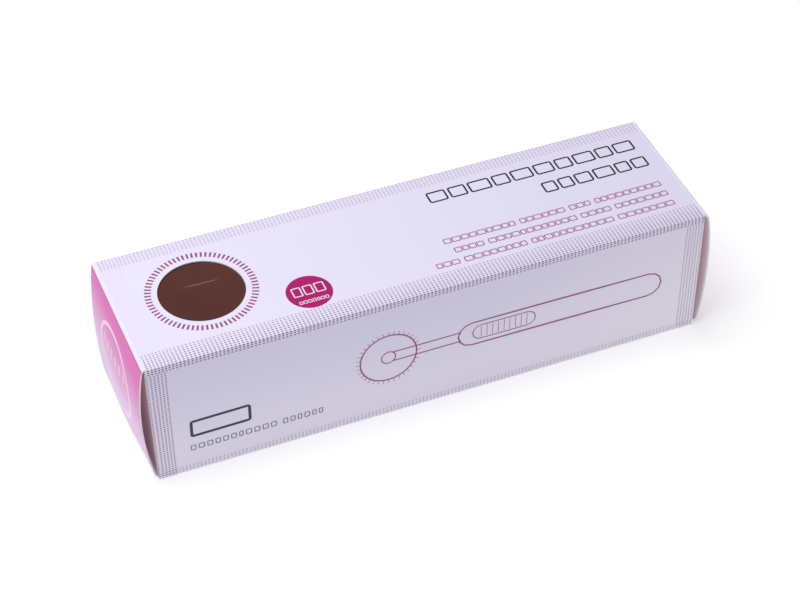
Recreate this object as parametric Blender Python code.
"""A boxed derma roller: a tuck-end carton with a round film window, and the needle roller inside it.

World frame: the origin is the middle of the carton's underside, +X runs along the carton to its
right end, +Y to its back and +Z up. The roller lies in the carton on its drum and its tail, with
the tail towards the left end, where it slides out.

The roller is modelled in its own frame: origin on the drum's axle, +X along the handle to the
tail, +Y along the axle and +Z up. The empty roller_frame turns and places that frame.
"""

import math

import bmesh
import bpy
from mathutils import Vector

MM = 0.001

# ---- Driving dimensions, in millimetres ----

CARTON_LENGTH = 190.0
CARTON_DEPTH = 53.0
CARTON_HEIGHT = 48.4
BOARD = 0.45  # thickness of the folding boxboard
CREASE_RADIUS = 0.9  # outside radius of the four long creases
GLUE_LINE = 0.15  # between the glue flap and the back panel
GLUE_FLAP_WIDTH = 12.0
GLUE_FLAP_SETBACK = 2.0  # the glue flap stops short of each end
HINGE_GAP = 0.3  # clearance at every crease that folds

WINDOW_RADIUS = 13.8
WINDOW_FROM_LEFT = 28.3  # window centre, from the carton's left end
WINDOW_FROM_BACK = 25.5  # window centre, from the carton's back face
FILM_MARGIN = 5.0
FILM_THICKNESS = 0.2
FILM_GAP = 0.06

CLOSURE_AXIS_X = 95.6  # the crease an end panel turns on, from the carton's middle
CLOSURE_AXIS_Z = 48.6
CLOSURE_BULGE = 2.65  # how far the end panels bow outwards
LEFT_FULLNESS = 0.75  # power of the bow's sine: below 1 swells sooner next to the creases
RIGHT_FULLNESS = 0.5
CLOSURE_SIDE_GAP = 0.4
CLOSURE_STEPS = 14
TAB_LENGTH = 13.0
TAB_TILT = math.radians(12.0)  # the tuck tab springs up off the floor panel
TAB_AXIS_HEIGHT = 0.95
TAB_CORNER = 6.0
TAB_SIDE_GAP = 1.0
DUST_AXIS_BEYOND = 0.2  # the side flaps' creases lie this far beyond the end of the walls
DUST_AXIS_INSET = 0.4
DUST_LENGTH = 14.5
DUST_TOP_TAPER = 0.70  # fall of the flap's upper edge per length
DUST_LOW_TAPER = 0.15
DUST_TOP_CLEARANCE = 1.0
DUST_LOW_HEIGHT = 2.4
DUST_CORNER = 2.0

LEAFLET_LENGTH = 140.0
LEAFLET_HEIGHT = 38.0
LEAFLET_LAYERS = 4
LEAFLET_SHEET = 0.2
LEAFLET_PITCH = 0.5
LEAFLET_GAP = 0.3

TAIL_TO_LEFT_END = 18.0  # from the carton's left end to the tip of the roller's tail
LYING_GAP = 0.3  # clearance between the roller and the floor panel

NEEDLE_DISCS = 9
NEEDLES_PER_DISC = 60
NEEDLE_TIP_RADIUS = 11.8
NEEDLE_ROOT_RADIUS = 10.4
DISC_THICKNESS = 0.25
DISC_PITCH = 1.9
SPACER_RADIUS = 10.6
STACK_GAP = 0.08  # between each disc and spacer
CORE_RADIUS = 7.8
CORE_BORE = 1.85
RING_BORE = 8.1
FLANGE_RADIUS = 10.9
FLANGE_THICKNESS = 1.5
FLANGE_BEVEL = 0.4
DRUM_HALF_LENGTH = 10.4
AXLE_RADIUS = 1.5
AXLE_HALF_LENGTH = 14.5
AXLE_HOLE = 1.8

ARM_INNER_FACE = 10.9
ARM_PLATE = 1.9
ARM_LAYER_GAP = 0.3
ARM_OUTER_FACE = 15.0
ARM_END_RADIUS = 6.4  # the outer plate, about the axle
ARM_RIM = 1.1  # how far the inner plate stands out beyond the outer one
ARM_REAR = 17.6  # where the arms end inside the handle
ARM_UPPER_EDGE = ((11.0, 16.9), (4.4, 13.0))  # side view, from the handle down to the end
ARM_LOWER_EDGE = ((9.6, 3.2), (14.6, 9.2))
ARM_OUTER_HEEL = ((ARM_REAR, 11.5),)  # ends inside the lower shell's side wall
ARM_INNER_HEEL = ((15.1, 12.9), (ARM_REAR, 14.7))  # clear of the lower shell's belly
ARM_JOIN_DEPTH = 0.7  # how far the inner plates reach into the upper shell
WEB_FRONT = 15.7  # the wall between the inner plates, under the upper shell's front edge
WEB_THICKNESS = 1.5
WEB_CLEARANCE = 1.2  # above the inside of the lower shell's belly

CAP_EDGE = 1.2  # height of the upper shell's straight edge
CAP_CROWN = 1.6
SEAM_GAP = 0.15  # half the gap between the two shells
WALL = 1.5
BELLY_CORNER = 3.2
TAIL_LIFT = 1.6  # rise of the belly as it rounds into the tail's tip
HANDLE_STEPS = 24
TAIL_STEPS = 8
CAVITY_STEPS = 24
TAIL_ROUND_START = 129.5
TAIL_ROUND_LENGTH = 7.6
TAIL_TIP = 137.0

# Handle stations: distance along the handle, height of the seam, height of the belly, half width.
HANDLE_STATIONS = (
    (15.5, 19.0, 9.9, 15.0),
    (24.0, 22.2, 14.6, 13.4),
    (33.0, 23.2, 16.2, 10.6),
    (44.0, 20.4, 13.8, 7.5),
    (58.0, 14.2, 6.8, 5.8),
    (75.0, 8.6, 0.5, 5.7),
    (95.0, 6.9, 1.6, 6.5),
    (115.0, 7.7, 3.2, 7.5),
    (129.0, 7.4, 0.3, 7.4),
    (137.0, 6.6, 0.0, 7.0),
)

PAD_START = 18.0
PAD_SPLIT = 33.0  # the smooth pad ends and the knurled grip starts
PAD_END = 42.0
PAD_FRONT_HALF_WIDTH = 8.8
PAD_REAR_HALF_WIDTH = 3.0
PAD_FRONT_ROUND = 0.14  # share of the length over which the front corners are rounded
PAD_FRONT_CUT = 0.32  # share of the width that rounding takes off
PAD_REAR_ROUND = 0.16
PAD_REAR_CUT = 0.75
PAD_DEPTH = 0.9
PAD_PROUD = 0.25
PAD_GAP = 0.25

ROUND_STEPS = 32
BORE_STEPS = 16

# ---- Values worked out from the driving dimensions ----

HALF_LENGTH = CARTON_LENGTH / 2
HALF_DEPTH = CARTON_DEPTH / 2
AXLE_HEIGHT = BOARD + LYING_GAP + NEEDLE_TIP_RADIUS
TAIL_LOWEST = (134.0, -0.2)  # the underside point that touches down, in the roller's frame
LYING_TILT = math.asin((AXLE_HEIGHT + TAIL_LOWEST[1] - BOARD - LYING_GAP) / TAIL_LOWEST[0])
AXLE_X = -HALF_LENGTH + TAIL_TO_LEFT_END + TAIL_TIP * math.cos(LYING_TILT)
WINDOW_CENTRE = (-HALF_LENGTH + WINDOW_FROM_LEFT, HALF_DEPTH - WINDOW_FROM_BACK)


# ---- Materials ----


def material(name, colour, roughness, metallic=0.0):
    """A Principled BSDF material with one colour."""
    made = bpy.data.materials.new(name)
    made.use_nodes = True
    shader = made.node_tree.nodes["Principled BSDF"]
    shader.inputs["Base Color"].default_value = (*colour, 1.0)
    shader.inputs["Roughness"].default_value = roughness
    shader.inputs["Metallic"].default_value = metallic
    return made


# ---- Building blocks ----


def arc(centre, radius, start, end, steps):
    """Points on an arc, both ends included, angles in degrees."""
    turns = [math.radians(start + (end - start) * i / steps) for i in range(steps + 1)]
    return [(centre[0] + radius * math.cos(t), centre[1] + radius * math.sin(t)) for t in turns]


def circle(centre, radius, steps):
    return arc(centre, radius, 0, 360, steps)[:-1]


def add_object(name, bm, finish, parent=None, origin=(0.0, 0.0, 0.0), smooth=True):
    """Turns a bmesh in millimetres into an object in metres, its origin at the given point."""
    bmesh.ops.translate(bm, vec=-Vector(origin), verts=bm.verts)
    bmesh.ops.scale(bm, vec=(MM, MM, MM), verts=bm.verts)
    bmesh.ops.recalc_face_normals(bm, faces=bm.faces)
    mesh = bpy.data.meshes.new(name)
    bm.to_mesh(mesh)
    bm.free()
    mesh.materials.append(finish)
    if smooth:
        mesh.shade_smooth()
        mesh.set_sharp_from_angle(angle=math.radians(30))
    made = link(name, mesh, parent)
    made.location = Vector(origin) * MM
    return made


def link(name, mesh, parent=None):
    made = bpy.data.objects.new(name, mesh)
    bpy.context.scene.collection.objects.link(made)
    made.parent = parent
    return made


def plate_bmesh(outline, plane, low, high, holes=()):
    """A flat plate: an outline with holes, filled in a plane and extruded along its normal.

    plane names the outline's two axes, such as "YZ"; low and high are along the third axis.
    """
    order = {"YZ": (1, 2, 0), "XZ": (0, 2, 1), "XY": (0, 1, 2)}[plane]

    def place(point):
        spot = [0.0, 0.0, 0.0]
        spot[order[0]], spot[order[1]], spot[order[2]] = point[0], point[1], low
        return spot

    bm = bmesh.new()
    edges = []
    for loop in (outline, *holes):
        ring = [bm.verts.new(place(point)) for point in loop]
        edges += [bm.edges.new((a, b)) for a, b in zip(ring, ring[1:] + ring[:1])]
    bmesh.ops.triangle_fill(bm, use_beauty=True, edges=edges)
    grown = bmesh.ops.extrude_face_region(bm, geom=bm.faces[:])
    moved = [part for part in grown["geom"] if isinstance(part, bmesh.types.BMVert)]
    shift = [0.0, 0.0, 0.0]
    shift[order[2]] = high - low
    bmesh.ops.translate(bm, vec=shift, verts=moved)
    return bm


def revolved_bmesh(profile, steps):
    """A closed (radius, y) profile spun round the Y axis."""
    bm = bmesh.new()
    ring = [bm.verts.new((radius, y, 0.0)) for radius, y in profile]
    edges = [bm.edges.new((a, b)) for a, b in zip(ring, ring[1:] + ring[:1])]
    bmesh.ops.spin(
        bm, geom=ring + edges, axis=(0, 1, 0), cent=(0, 0, 0), angle=math.tau, steps=steps, use_merge=True
    )
    bmesh.ops.remove_doubles(bm, verts=bm.verts, dist=0.001)
    return bm


def loft_bmesh(rings):
    """Bridges rings of equal length and caps the two ends."""
    bm = bmesh.new()
    made = []
    for ring in rings:
        verts = [bm.verts.new(point) for point in ring]
        made.append((verts, [bm.edges.new((a, b)) for a, b in zip(verts, verts[1:] + verts[:1])]))
    for (_, edges), (_, following) in zip(made, made[1:]):
        bmesh.ops.bridge_loops(bm, edges=edges + following)
    bm.faces.new(made[0][0])
    bm.faces.new(made[-1][0])
    return bm


def tool(made):
    """Marks an object as a Boolean helper, not a piece of the roller."""
    made.hide_render = True
    made.display_type = "WIRE"
    return made


def boolean(target, helper, operation):
    step = target.modifiers.new(operation.lower(), "BOOLEAN")
    step.operation = operation
    step.object = tool(helper)


# ---- Carton ----


def sleeve_outline():
    """Section of the folded sheet: glue flap, floor, front, top and back, ending at a free edge."""
    out = CREASE_RADIUS
    inn = CREASE_RADIUS - BOARD
    left, right = -HALF_DEPTH, HALF_DEPTH
    top = CARTON_HEIGHT
    flap_out = right - BOARD - GLUE_LINE
    outer = [(flap_out, GLUE_FLAP_WIDTH)]
    outer += arc((flap_out - out, out), out, 0, -90, 4)
    outer += arc((left + out, out), out, -90, -180, 4)
    outer += arc((left + out, top - out), out, 180, 90, 4)
    outer += arc((right - out, top - out), out, 90, 0, 4)
    outer += [(right, BOARD)]
    inner = [(flap_out - BOARD, GLUE_FLAP_WIDTH)]
    inner += arc((flap_out - out, out), inn, 0, -90, 3)
    inner += arc((left + out, out), inn, -90, -180, 3)
    inner += arc((left + out, top - out), inn, 180, 90, 3)
    inner += arc((right - out, top - out), inn, 90, 0, 3)
    inner += [(right - BOARD, BOARD)]
    return outer + inner[::-1]


def carton_body(board):
    body = add_object(
        "carton_body", plate_bmesh(sleeve_outline(), "YZ", -HALF_LENGTH, HALF_LENGTH), board
    )
    hole = circle(WINDOW_CENTRE, WINDOW_RADIUS, 48)
    cutter = plate_bmesh(hole, "XY", CARTON_HEIGHT - 3 * BOARD, CARTON_HEIGHT + BOARD)
    boolean(body, add_object("window_cutter", cutter, board), "DIFFERENCE")
    flap = HALF_DEPTH - BOARD - GLUE_LINE
    band = ((flap - 2 * BOARD, CREASE_RADIUS), (flap + GLUE_LINE / 2, CREASE_RADIUS))
    band += ((flap + GLUE_LINE / 2, GLUE_FLAP_WIDTH + 1), (flap - 2 * BOARD, GLUE_FLAP_WIDTH + 1))
    for side in (-1, 1):
        ends = sorted((side * (HALF_LENGTH - GLUE_FLAP_SETBACK), side * (HALF_LENGTH + 1)))
        notch = add_object(f"glue_flap_cutter_{side + 1}", plate_bmesh(band, "YZ", *ends), board)
        boolean(body, notch, "DIFFERENCE")


def window_film(film):
    half = WINDOW_RADIUS + FILM_MARGIN
    x, y = WINDOW_CENTRE
    sheet = [(x - half, y - half), (x + half, y - half), (x + half, y + half), (x - half, y + half)]
    high = CARTON_HEIGHT - BOARD - FILM_GAP
    add_object("window_film", plate_bmesh(sheet, "XY", high - FILM_THICKNESS, high), film)


def instruction_leaflet(paper):
    """A concertina-folded sheet standing against the back panel."""
    back = HALF_DEPTH - 2 * BOARD - GLUE_LINE - LEAFLET_GAP
    low = BOARD + CREASE_RADIUS
    high = low + LEAFLET_HEIGHT
    near = []
    far = []
    for layer in range(LEAFLET_LAYERS):
        y = back - layer * LEAFLET_PITCH
        rising = layer % 2 == 0
        first, last = layer == 0, layer == LEAFLET_LAYERS - 1
        outside = y if rising else y - LEAFLET_SHEET
        inside = y - LEAFLET_SHEET if rising else y
        foot = low if first or last else low + LEAFLET_SHEET
        run = [(outside, foot), (outside, high)]
        back_run = [(inside, low), (inside, high - LEAFLET_SHEET)]
        far += run if rising else run[::-1]
        near += back_run if rising else back_run[::-1]
    outline = far + near[::-1]
    half = LEAFLET_LENGTH / 2
    add_object("instruction_leaflet", plate_bmesh(outline, "YZ", -half, half), paper)


def closure_panel(name, side, fullness, board):
    """The end panel, bowed outwards between its crease and its tuck tab."""
    top = CARTON_HEIGHT - HINGE_GAP
    low = TAB_AXIS_HEIGHT
    face = HALF_LENGTH + HINGE_GAP
    inner = []
    for step in range(CLOSURE_STEPS + 1):
        share = step / CLOSURE_STEPS
        bow = CLOSURE_BULGE * math.sin(math.pi * min(share, 1 - share)) ** fullness
        inner.append((side * (face + bow), top + (low - top) * share))
    outer = [(x + side * BOARD, z) for x, z in inner]
    half = HALF_DEPTH - CLOSURE_SIDE_GAP
    panel = plate_bmesh(inner + outer[::-1], "XZ", -half, half)
    add_object(name, panel, board, origin=(side * CLOSURE_AXIS_X, 0, CLOSURE_AXIS_Z))


def tuck_tab(name, side, board):
    """The tab that tucks in over the floor panel, lying along its crease axis and then tilted."""
    half = HALF_DEPTH - 2 * BOARD - TAB_SIDE_GAP
    reach = TAB_LENGTH
    outline = [(HINGE_GAP, -half), (reach - TAB_CORNER, -half)]
    outline += arc((reach - TAB_CORNER, TAB_CORNER - half), TAB_CORNER, -90, 0, 5)[1:]
    outline += arc((reach - TAB_CORNER, half - TAB_CORNER), TAB_CORNER, 0, 90, 5)
    outline += [(HINGE_GAP, half)]
    made = add_object(name, plate_bmesh(outline, "XY", 0.0, BOARD), board)
    made.location = Vector((side * (HALF_LENGTH + HINGE_GAP), 0, TAB_AXIS_HEIGHT)) * MM
    made.rotation_euler = (0, -TAB_TILT, 0 if side < 0 else math.pi)


def dust_flap(name, side, depth_side, board):
    """A side flap folded across the end, its upper edge tapered to clear the closure panel."""
    root = BOARD + HINGE_GAP
    tip = DUST_LENGTH
    high = CARTON_HEIGHT - DUST_TOP_CLEARANCE - CREASE_RADIUS
    top_tip = high - DUST_TOP_TAPER * tip
    low_tip = DUST_LOW_HEIGHT + DUST_LOW_TAPER * tip
    outline = [(root, DUST_LOW_HEIGHT), (tip - DUST_CORNER, low_tip)]
    outline += arc((tip - DUST_CORNER, low_tip + DUST_CORNER), DUST_CORNER, -90, 0, 3)[1:]
    outline += arc((tip - DUST_CORNER, top_tip - DUST_CORNER), DUST_CORNER, 0, 60, 3)
    outline += [(root, high)]
    placed = [(depth_side * (HALF_DEPTH - reach), z) for reach, z in outline]
    ends = sorted((side * HALF_LENGTH, side * (HALF_LENGTH - BOARD)))
    axis = (side * (HALF_LENGTH + DUST_AXIS_BEYOND), depth_side * (HALF_DEPTH - DUST_AXIS_INSET), 0)
    add_object(name, plate_bmesh(placed, "YZ", *ends), board, origin=axis)


def build_carton():
    white_board = material("carton_board", (0.80, 0.79, 0.93), 0.35)
    pink_board = material("closure_board", (0.80, 0.22, 0.52), 0.35)
    plain_board = material("plain_board", (0.78, 0.74, 0.78), 0.6)
    film = material("brown_film", (0.10, 0.03, 0.03), 0.08)
    paper = material("leaflet_paper", (0.85, 0.85, 0.83), 0.7)
    carton_body(white_board)
    window_film(film)
    instruction_leaflet(paper)
    closure_panel("left_closure_panel", -1, LEFT_FULLNESS, pink_board)
    closure_panel("right_closure_panel", 1, RIGHT_FULLNESS, pink_board)
    for side, word in ((-1, "left"), (1, "right")):
        tuck_tab(f"{word}_tuck_tab", side, plain_board)
        for depth_side, place in ((-1, "front"), (1, "back")):
            dust_flap(f"{word}_dust_flap_{place}", side, depth_side, plain_board)


# ---- Roller: shape functions in the roller's frame ----


def station(x):
    """(seam height, belly height, half width) of the handle at x, eased through the stations."""
    table = HANDLE_STATIONS
    index = max(i for i in range(len(table) - 1) if table[i][0] <= x or i == 0)
    before, start, end, after = (
        table[max(index - 1, 0)],
        table[index],
        table[index + 1],
        table[min(index + 2, len(table) - 1)],
    )
    span = end[0] - start[0]
    t = (x - start[0]) / span
    values = []
    for k in (1, 2, 3):
        slope_in = (end[k] - before[k]) / (end[0] - before[0]) * span
        slope_out = (after[k] - start[k]) / (after[0] - start[0]) * span
        values.append(
            (2 * t**3 - 3 * t**2 + 1) * start[k]
            + (t**3 - 2 * t**2 + t) * slope_in
            + (3 * t**2 - 2 * t**3) * end[k]
            + (t**3 - t**2) * slope_out
        )
    return values


def tail_rounding(x):
    """1 along the handle, falling on an ellipse to near 0 at the tail's tip."""
    share = max(0.0, (x - TAIL_ROUND_START) / TAIL_ROUND_LENGTH)
    return math.sqrt(max(0.0, 1 - share * share))


def half_width(x):
    return station(x)[2] * tail_rounding(x)


def cap_top(x, across):
    """Height of the upper shell's top face at x, where across runs from -1 to 1."""
    seam = station(x)[0]
    rise = CAP_CROWN * (1 - across * across)
    return seam + (CAP_EDGE + rise) * (0.4 + 0.6 * tail_rounding(x))


def even_positions(start, end, steps):
    return [start + (end - start) * i / steps for i in range(steps + 1)]


def handle_positions():
    """Even stations along the handle, then closer and closer ones round the tail."""
    positions = even_positions(HANDLE_STATIONS[0][0], TAIL_ROUND_START, HANDLE_STEPS)
    for i in range(1, TAIL_STEPS + 1):
        turn = math.pi / 2 * i / TAIL_STEPS
        positions.append(TAIL_ROUND_START + (TAIL_TIP - TAIL_ROUND_START) * math.sin(turn))
    return positions


def upper_shell_loft():
    rings = []
    across = [-1 + i / 3 for i in range(7)]
    for x in handle_positions():
        seam, _, _ = station(x)
        half = half_width(x)
        ring = [(x, -half, seam + SEAM_GAP), (x, half, seam + SEAM_GAP)]
        ring += [(x, a * half * (0.985 if abs(a) == 1 else 1), cap_top(x, a)) for a in reversed(across)]
        rings.append(ring)
    return loft_bmesh(rings)


def belly_ring(x, seam, belly, half, corner):
    """A section below the seam: straight sides, rounded lower corners and a flat belly."""
    corner = min(corner, half * 0.9, (seam - belly) * 0.6)
    ring = [(x, y, z) for y, z in arc((half - corner, belly + corner), corner, 0, -90, 4)]
    ring += [(x, y, z) for y, z in arc((corner - half, belly + corner), corner, -90, -180, 4)]
    return [(x, half, seam)] + ring + [(x, -half, seam)]


def lower_shell_loft():
    rings = []
    for x in handle_positions():
        seam, belly, _ = station(x)
        lift = (1 - tail_rounding(x)) * TAIL_LIFT
        rings.append(belly_ring(x, seam - SEAM_GAP, belly + lift, half_width(x), BELLY_CORNER))
    return loft_bmesh(rings)


def lower_cavity_loft():
    """The hollow of the lower shell, open at the seam and at the yoke."""
    rings = []
    start = HANDLE_STATIONS[0][0] - 3
    for x in even_positions(start, TAIL_ROUND_START, CAVITY_STEPS):
        seam, belly, half = station(max(x, HANDLE_STATIONS[0][0]))
        rings.append(belly_ring(x, seam + CAP_EDGE, belly + WALL, half - WALL, BELLY_CORNER - 1))
    return loft_bmesh(rings)


def arm_outline(rim):
    """Side view of a yoke arm, rounded about the axle; rim widens its upper edge and its end."""
    lift = ARM_JOIN_DEPTH if rim else -SEAM_GAP
    top = [(x, station(x)[0] + lift) for x in (ARM_REAR, HANDLE_STATIONS[0][0])]
    upper = [(x - rim * 0.65, z + rim * 0.75) for x, z in ARM_UPPER_EDGE]
    end = arc((0, 0), ARM_END_RADIUS + rim, 138, 325, 14)
    heel = ARM_INNER_HEEL if rim else ARM_OUTER_HEEL
    return end + list(ARM_LOWER_EDGE + heel) + top + upper


def arm_plate(name, finish, inner, side, frame):
    """One layer of a yoke arm: the inner plates belong to the upper shell."""
    if inner:
        faces = (ARM_INNER_FACE, ARM_INNER_FACE + ARM_PLATE)
    else:
        faces = (ARM_INNER_FACE + ARM_PLATE + ARM_LAYER_GAP, ARM_OUTER_FACE)
    low, high = sorted((side * faces[0], side * faces[1]))
    outline = arm_outline(ARM_RIM if inner else 0.0)
    return add_object(name, plate_bmesh(outline, "XZ", low, high), finish, frame, smooth=False)


def axle_cutter(name, finish, frame):
    hole = circle((0, 0), AXLE_HOLE, BORE_STEPS)
    reach = ARM_OUTER_FACE + 1
    bar = plate_bmesh(hole, "XZ", -reach, reach)
    return add_object(name, bar, finish, frame, smooth=False)


def pad_half_width(x):
    """The teardrop inset's half width: rounded at both ends and narrowing to the rear."""
    share = (x - PAD_START) / (PAD_END - PAD_START)
    straight = PAD_FRONT_HALF_WIDTH + (PAD_REAR_HALF_WIDTH - PAD_FRONT_HALF_WIDTH) * share
    front = max(0.0, 1 - share / PAD_FRONT_ROUND)
    rear = max(0.0, (share - 1 + PAD_REAR_ROUND) / PAD_REAR_ROUND)
    front_factor = 1 - PAD_FRONT_CUT * (1 - math.sqrt(1 - front * front))
    rear_factor = 1 - PAD_REAR_CUT * (1 - math.sqrt(1 - rear * rear))
    return straight * front_factor * rear_factor


def pad_loft(start, end, margin, low, high, steps=10):
    """A slab that follows the upper shell's crown between start and end."""
    rings = []
    middle, reach = (start + end) / 2, (end - start) / 2 + margin
    for x in [middle - reach * math.cos(math.pi * i / steps) for i in range(steps + 1)]:
        inside = min(max(x, PAD_START), PAD_END)
        half = pad_half_width(inside) + margin
        wide = half_width(x)
        spread = [-half + 2 * half * i / 4 for i in range(5)]
        ring = [(x, y, cap_top(x, y / wide) + low) for y in spread]
        ring += [(x, y, cap_top(x, y / wide) + high) for y in reversed(spread)]
        rings.append(ring)
    return loft_bmesh(rings)


def build_handle(frame):
    pearl = material("pearl_plastic", (0.86, 0.84, 0.88), 0.22)
    magenta = material("magenta_plastic", (0.55, 0.03, 0.24), 0.25)
    rubber = material("grip_rubber", (0.45, 0.03, 0.20), 0.6)
    upper = add_object("handle_upper_shell", upper_shell_loft(), pearl, frame)
    lower = add_object("handle_lower_shell", lower_shell_loft(), magenta, frame)
    boolean(lower, add_object("cavity_cutter", lower_cavity_loft(), magenta, frame), "DIFFERENCE")
    for side, word in ((-1, "near"), (1, "far")):
        boolean(upper, arm_plate(f"inner_arm_tool_{word}", pearl, True, side, frame), "UNION")
        boolean(lower, arm_plate(f"outer_arm_tool_{word}", magenta, False, side, frame), "UNION")
    seam, belly, _ = station(HANDLE_STATIONS[0][0])
    low, high = belly + WALL + WEB_CLEARANCE, seam + ARM_JOIN_DEPTH
    rear = WEB_FRONT + WEB_THICKNESS
    wall = [(WEB_FRONT, low), (WEB_FRONT, high), (rear, high), (rear, low + WEB_CLEARANCE / 2)]
    reach = ARM_INNER_FACE + ARM_PLATE / 2
    web = plate_bmesh(wall, "XZ", -reach, reach)
    boolean(upper, add_object("web_tool", web, pearl, frame, smooth=False), "UNION")
    recess = pad_loft(PAD_START, PAD_END, PAD_GAP, -PAD_DEPTH, 2.0, 20)
    boolean(upper, add_object("pad_recess_cutter", recess, pearl, frame), "DIFFERENCE")
    boolean(upper, axle_cutter("axle_cutter_inner", pearl, frame), "DIFFERENCE")
    boolean(lower, axle_cutter("axle_cutter_outer", magenta, frame), "DIFFERENCE")
    floor = PAD_GAP - PAD_DEPTH
    add_object(
        "thumb_pad", pad_loft(PAD_START, PAD_SPLIT - PAD_GAP, 0, floor, PAD_PROUD), magenta, frame
    )
    add_object(
        "thumb_grip", pad_loft(PAD_SPLIT + PAD_GAP, PAD_END, 0, floor, PAD_PROUD), rubber, frame
    )


def needle_disc_mesh():
    """One stamped disc: a ring whose edge is a circle of sharp needles."""
    outline = []
    for needle in range(NEEDLES_PER_DISC):
        turn = math.tau * needle / NEEDLES_PER_DISC
        root = turn + math.pi / NEEDLES_PER_DISC
        outline.append((NEEDLE_TIP_RADIUS * math.cos(turn), NEEDLE_TIP_RADIUS * math.sin(turn)))
        outline.append((NEEDLE_ROOT_RADIUS * math.cos(root), NEEDLE_ROOT_RADIUS * math.sin(root)))
    bore = circle((0, 0), RING_BORE, BORE_STEPS)
    half = DISC_THICKNESS / 2
    return plate_bmesh(outline, "XZ", -half, half, [bore])


def disc_position(index):
    return (index - (NEEDLE_DISCS - 1) / 2) * DISC_PITCH


def build_drum(frame):
    steel = material("needle_steel", (0.75, 0.75, 0.77), 0.22, 1.0)
    drum_white = material("drum_plastic", (0.85, 0.83, 0.88), 0.3)
    magenta = material("flange_plastic", (0.55, 0.03, 0.24), 0.25)

    first = add_object("needle_disc_1", needle_disc_mesh(), steel, frame)
    first.location.y = disc_position(0) * MM
    for index in range(1, NEEDLE_DISCS):
        disc = link(f"needle_disc_{index + 1}", first.data, frame)
        disc.location.y = disc_position(index) * MM

    edges = [disc_position(i) for i in range(NEEDLE_DISCS)]
    flange_face = DRUM_HALF_LENGTH - FLANGE_THICKNESS
    starts = [-flange_face] + [y + DISC_THICKNESS / 2 for y in edges]
    ends = [y - DISC_THICKNESS / 2 for y in edges] + [flange_face]
    for index, (start, end) in enumerate(zip(starts, ends)):
        ring = [(RING_BORE, start + STACK_GAP), (SPACER_RADIUS, start + STACK_GAP)]
        ring += [(SPACER_RADIUS, end - STACK_GAP), (RING_BORE, end - STACK_GAP)]
        add_object(f"spacer_ring_{index + 1}", revolved_bmesh(ring, ROUND_STEPS), drum_white, frame)

    for side, word in ((-1, "left"), (1, "right")):
        outer = FLANGE_RADIUS
        profile = [(CORE_BORE, flange_face), (outer, flange_face)]
        profile += [(outer, DRUM_HALF_LENGTH - FLANGE_BEVEL), (outer - FLANGE_BEVEL, DRUM_HALF_LENGTH)]
        profile += [(CORE_BORE, DRUM_HALF_LENGTH)]
        flange = [(radius, side * y) for radius, y in profile]
        add_object(f"drum_flange_{word}", revolved_bmesh(flange, ROUND_STEPS + 8), magenta, frame)

    half = flange_face - STACK_GAP
    core = [(CORE_BORE, -half), (CORE_RADIUS, -half), (CORE_RADIUS, half), (CORE_BORE, half)]
    add_object("drum_core", revolved_bmesh(core, ROUND_STEPS), drum_white, frame)
    pin = circle((0, 0), AXLE_RADIUS, BORE_STEPS)
    add_object(
        "axle_pin", plate_bmesh(pin, "XZ", -AXLE_HALF_LENGTH, AXLE_HALF_LENGTH), steel, frame
    )


def main():
    for old in list(bpy.data.objects):
        bpy.data.objects.remove(old)
    build_carton()
    roller_frame = bpy.data.objects.new("roller_frame", None)
    bpy.context.scene.collection.objects.link(roller_frame)
    roller_frame.location = Vector((AXLE_X, 0, AXLE_HEIGHT)) * MM
    roller_frame.rotation_euler = (0, LYING_TILT, math.pi)
    build_handle(roller_frame)
    build_drum(roller_frame)


main()
